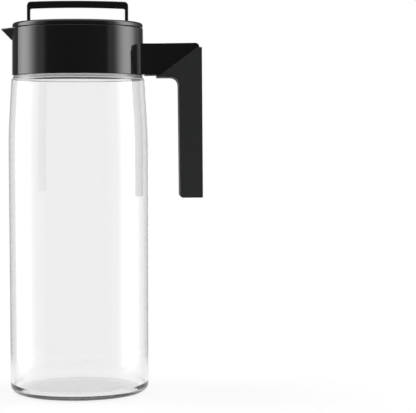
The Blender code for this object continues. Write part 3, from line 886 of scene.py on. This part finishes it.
black, shader = new_finish("gloss black plastic", (0.0068, 0.0068, 0.0068), POLISH[0])
shader.inputs["IOR"].default_value = 1.5
tree = black.node_tree
along = axes_of(tree, place_on(tree))
under_arm = math_node(
    tree, "MULTIPLY",
    ramp(tree, along["Z"], *UNDERSIDE),
    ramp(tree, along["X"], *PAST_COLLAR),
)
polish = ramp(tree, noise_on(tree, POLISH_SCALE), *MIDDLE, *POLISH)
dulled = math_node(tree, "MAXIMUM", polish, math_node(tree, "MULTIPLY", under_arm, MATT))
tree.links.new(dulled, shader.inputs["Roughness"])
add_grain(tree, shader, *BLACK_WAVES)
for piece in (collar, cap, plug, bail):
    wear(piece, black)

# %% [markdown]
# The sleeve is soft-touch plastic: dark grey, satin, with a trace of sheen at grazing angles.
# Its grain is much finer than the waves in the black, and its tint is slightly uneven.

# %% Soft dark grey
SATIN = (0.45, 0.52)
SATIN_SCALE = 300
SOFT_GRAIN = (2500, 0.00002)

soft, shader = new_finish("soft dark grey", (0.042, 0.045, 0.0435), 0.48)
shader.inputs["Sheen Weight"].default_value = 0.12
shader.inputs["Sheen Roughness"].default_value = 0.35
shader.inputs["IOR"].default_value = 1.45
tree = soft.node_tree
add_tint(tree, shader, 500, (0.040, 0.043, 0.0415), (0.044, 0.047, 0.0455))
satin = ramp(tree, noise_on(tree, SATIN_SCALE), *MIDDLE, *SATIN)
tree.links.new(satin, shader.inputs["Roughness"])
add_grain(tree, shader, *SOFT_GRAIN)
wear(sleeve, soft)

# %% [markdown]
# Silicone is matt and faintly translucent in thick pieces. These rings are so thin that an
# uneven pale grey with a soft bloom looks the same and renders faster.

# %% Silicone
silicone, shader = new_finish("silicone", (0.6, 0.61, 0.6), 0.45)
tree = silicone.node_tree
add_tint(tree, shader, 150, (0.57, 0.58, 0.57), (0.62, 0.63, 0.62))
add_grain(tree, shader, 1500, 0.00001)
for name in ("lower_seal_ring", "upper_seal_ring", "neck_gasket_ring"):
    wear(bpy.data.objects[name], silicone)

# %% [markdown]
# The solids under the pieces stay hidden, but each still carries a finish, so that nothing in
# the file is left plain.

# %% Finishes for the solids
SOLID_FINISHES = {
    "jar": clear, "handle_collar": black, "lid_cap": black, "lid_plug": black, "bail": black,
    "grip_sleeve": soft, "lower_seal": silicone, "upper_seal": silicone, "neck_gasket": silicone,
}
for node, finish in SOLID_FINISHES.items():
    wear(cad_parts[node], finish)

# %% [markdown]
# ## Studio
#
# Black gloss shows the room more than itself. The photograph has two tall soft boxes in the
# collar: a broad one on the left, with a crisp edge towards the back, and a soft one on the
# right. Area lamps could make them, but the world does it without noise: each box is a band
# over the compass direction, 0 towards the camera and 90 towards the handle, cut off above
# and below.

# %% Soft boxes in the world
LEFT_EDGE = (-128.5, -126.5)
LEFT_CORE, LEFT_CORE_LIGHT = (-138, -101, -100, -70), 4.2
LEFT_SKIRT, LEFT_SKIRT_LIGHT = (*LEFT_EDGE, -66, -52), 0.58
RIGHT_CORE, RIGHT_CORE_LIGHT = (64, 90, 94, 128), 4.7
RIGHT_SKIRT, RIGHT_SKIRT_LIGHT = (50, 60, 125, 145), 0.5
BOX_HEIGHTS = (-0.5, -0.35, 0.6, 0.75)
OVERHEAD, OVERHEAD_LIGHT = (0.55, 0.92), 1.5
ROOM_LIGHT = 0.12

world = bpy.data.worlds.new("studio")
bpy.context.scene.world = world
world.use_nodes = True
tree = world.node_tree
tree.nodes.clear()


def band(value, rise_start, rise_end, fall_start, fall_end, light=1.0):
    """A value of light between two soft edges, and 0 outside."""
    rise = ramp(tree, value, rise_start, rise_end)
    return math_node(tree, "MULTIPLY", rise, ramp(tree, value, fall_end, fall_start, 0, light))


looking = add_node(tree, "TexCoord").outputs["Generated"]
towards = axes_of(tree, looking)
backwards = math_node(tree, "MULTIPLY", towards["Y"], -1.0)
compass = math_node(tree, "DEGREES", math_node(tree, "ARCTAN2", towards["X"], backwards))
left_core = band(compass, *LEFT_CORE, LEFT_CORE_LIGHT)
left = math_node(tree, "MULTIPLY", left_core, ramp(tree, compass, *LEFT_EDGE))
left = math_node(tree, "ADD", left, band(compass, *LEFT_SKIRT, LEFT_SKIRT_LIGHT))
right = math_node(
    tree, "ADD",
    band(compass, *RIGHT_CORE, RIGHT_CORE_LIGHT),
    band(compass, *RIGHT_SKIRT, RIGHT_SKIRT_LIGHT),
)
boxes = math_node(tree, "ADD", left, right)
boxes = math_node(tree, "MULTIPLY", boxes, band(towards["Z"], *BOX_HEIGHTS))
light = math_node(tree, "ADD", boxes, ramp(tree, towards["Z"], *OVERHEAD, 0, OVERHEAD_LIGHT))
light = math_node(tree, "ADD", light, ROOM_LIGHT)
print("soft boxes at", LEFT_CORE[1], "and", RIGHT_CORE[1], "degrees")

# %% [markdown]
# The background is plain white without lighting the pitcher any more: only rays that come
# straight from the camera, or pass through the clear jar, see it. Mirror rays see it where a
# white wall would stand, straight behind, and elsewhere they see the studio.

# %% White background
WALL_EDGE = (0.965, 0.975)

path = add_node(tree, "LightPath").outputs
behind = math_node(tree, "MULTIPLY", path["Is Glossy Ray"], ramp(tree, towards["Y"], *WALL_EDGE))
sees_wall = math_node(tree, "MAXIMUM", path["Is Camera Ray"], path["Is Transmission Ray"])
sees_wall = math_node(tree, "MAXIMUM", sees_wall, behind)
strength = add_node(tree, "Mix", Factor=sees_wall, A=light, B=1.0)
background = add_node(tree, "Background", Color=(1, 1, 1, 1), Strength=strength.outputs["Result"])
add_node(tree, "OutputWorld", Surface=background.outputs["Background"])
print("world nodes:", len(tree.nodes))

# %% [markdown]
# A pale disc under the pitcher takes its shadow and a soft mirror image. It is mostly washed
# out with white for camera, mirror and clear rays, as a lit table would be, and it fades into
# the background before its rim, so that no horizon cuts across the jar.

# %% Floor
FLOOR_REACH = 0.26
FLOOR_FULL = 0.07
FLOOR_DROP = 0.0004
WASH = 0.8

bpy.ops.object.select_all(action="DESELECT")
bpy.ops.mesh.primitive_circle_add(
    vertices=96, radius=FLOOR_REACH, fill_type="NGON", location=(0, 0, -FLOOR_DROP)
)
floor = bpy.context.active_object
floor.name = floor.data.name = "floor"
floor_finish, shader = new_finish("pale floor", (0.92, 0.92, 0.92), 0.4)
shader.inputs["IOR"].default_value = 1.3
tree = floor_finish.node_tree
reach = add_node(tree, "VectorMath", Vector=place_on(tree))
reach.operation = "LENGTH"
fade = ramp(tree, reach.outputs["Value"], FLOOR_REACH, FLOOR_FULL)
tree.links.new(fade, shader.inputs["Alpha"])
path = add_node(tree, "LightPath").outputs
washed = math_node(tree, "MAXIMUM", path["Is Camera Ray"], path["Is Transmission Ray"])
washed = math_node(tree, "MAXIMUM", washed, path["Is Glossy Ray"])
washed = math_node(tree, "MULTIPLY", washed, math_node(tree, "MULTIPLY", fade, WASH))
white = add_node(tree, "Emission", Color=(1, 1, 1, 1), Strength=1.0)
mixed = add_node(tree, "MixShader", Fac=washed)
tree.links.new(shader.outputs[0], mixed.inputs[1])
tree.links.new(white.outputs[0], mixed.inputs[2])
tree.links.new(mixed.outputs[0], tree.nodes["Material Output"].inputs["Surface"])
floor.data.materials.append(floor_finish)
print("floor reaches", FLOOR_REACH)

# %% [markdown]
# The camera stands 1.2 m in front at about the height of the grip, with a long lens, so that
# the collar's top and the base show as flat ellipses. It is aimed a little to the right of the
# pitcher, which leaves the right half of the picture empty.

# %% Camera
CAMERA_PLACE = (0.0273, -1.17224, 0.19165)
YAW, PITCH, ROLL = math.radians(3.415), math.radians(2.583), math.radians(0.132)
SENSOR, LENS = 36, 134.654

camera_data = bpy.data.cameras.new("camera")
camera = bpy.data.objects.new("camera", camera_data)
bpy.context.scene.collection.objects.link(camera)
camera.location = CAMERA_PLACE
level = math.cos(PITCH)
forward = Vector((math.sin(YAW) * level, math.cos(YAW) * level, -math.sin(PITCH)))
camera.rotation_euler = forward.to_track_quat("-Z", "Y").to_euler()
camera.rotation_euler.rotate_axis("Z", -ROLL)
camera_data.sensor_width = SENSOR
camera_data.lens = LENS
bpy.context.scene.camera = camera
bpy.context.scene.view_settings.view_transform = "Standard"
print("camera looks along", [round(v, 4) for v in forward])
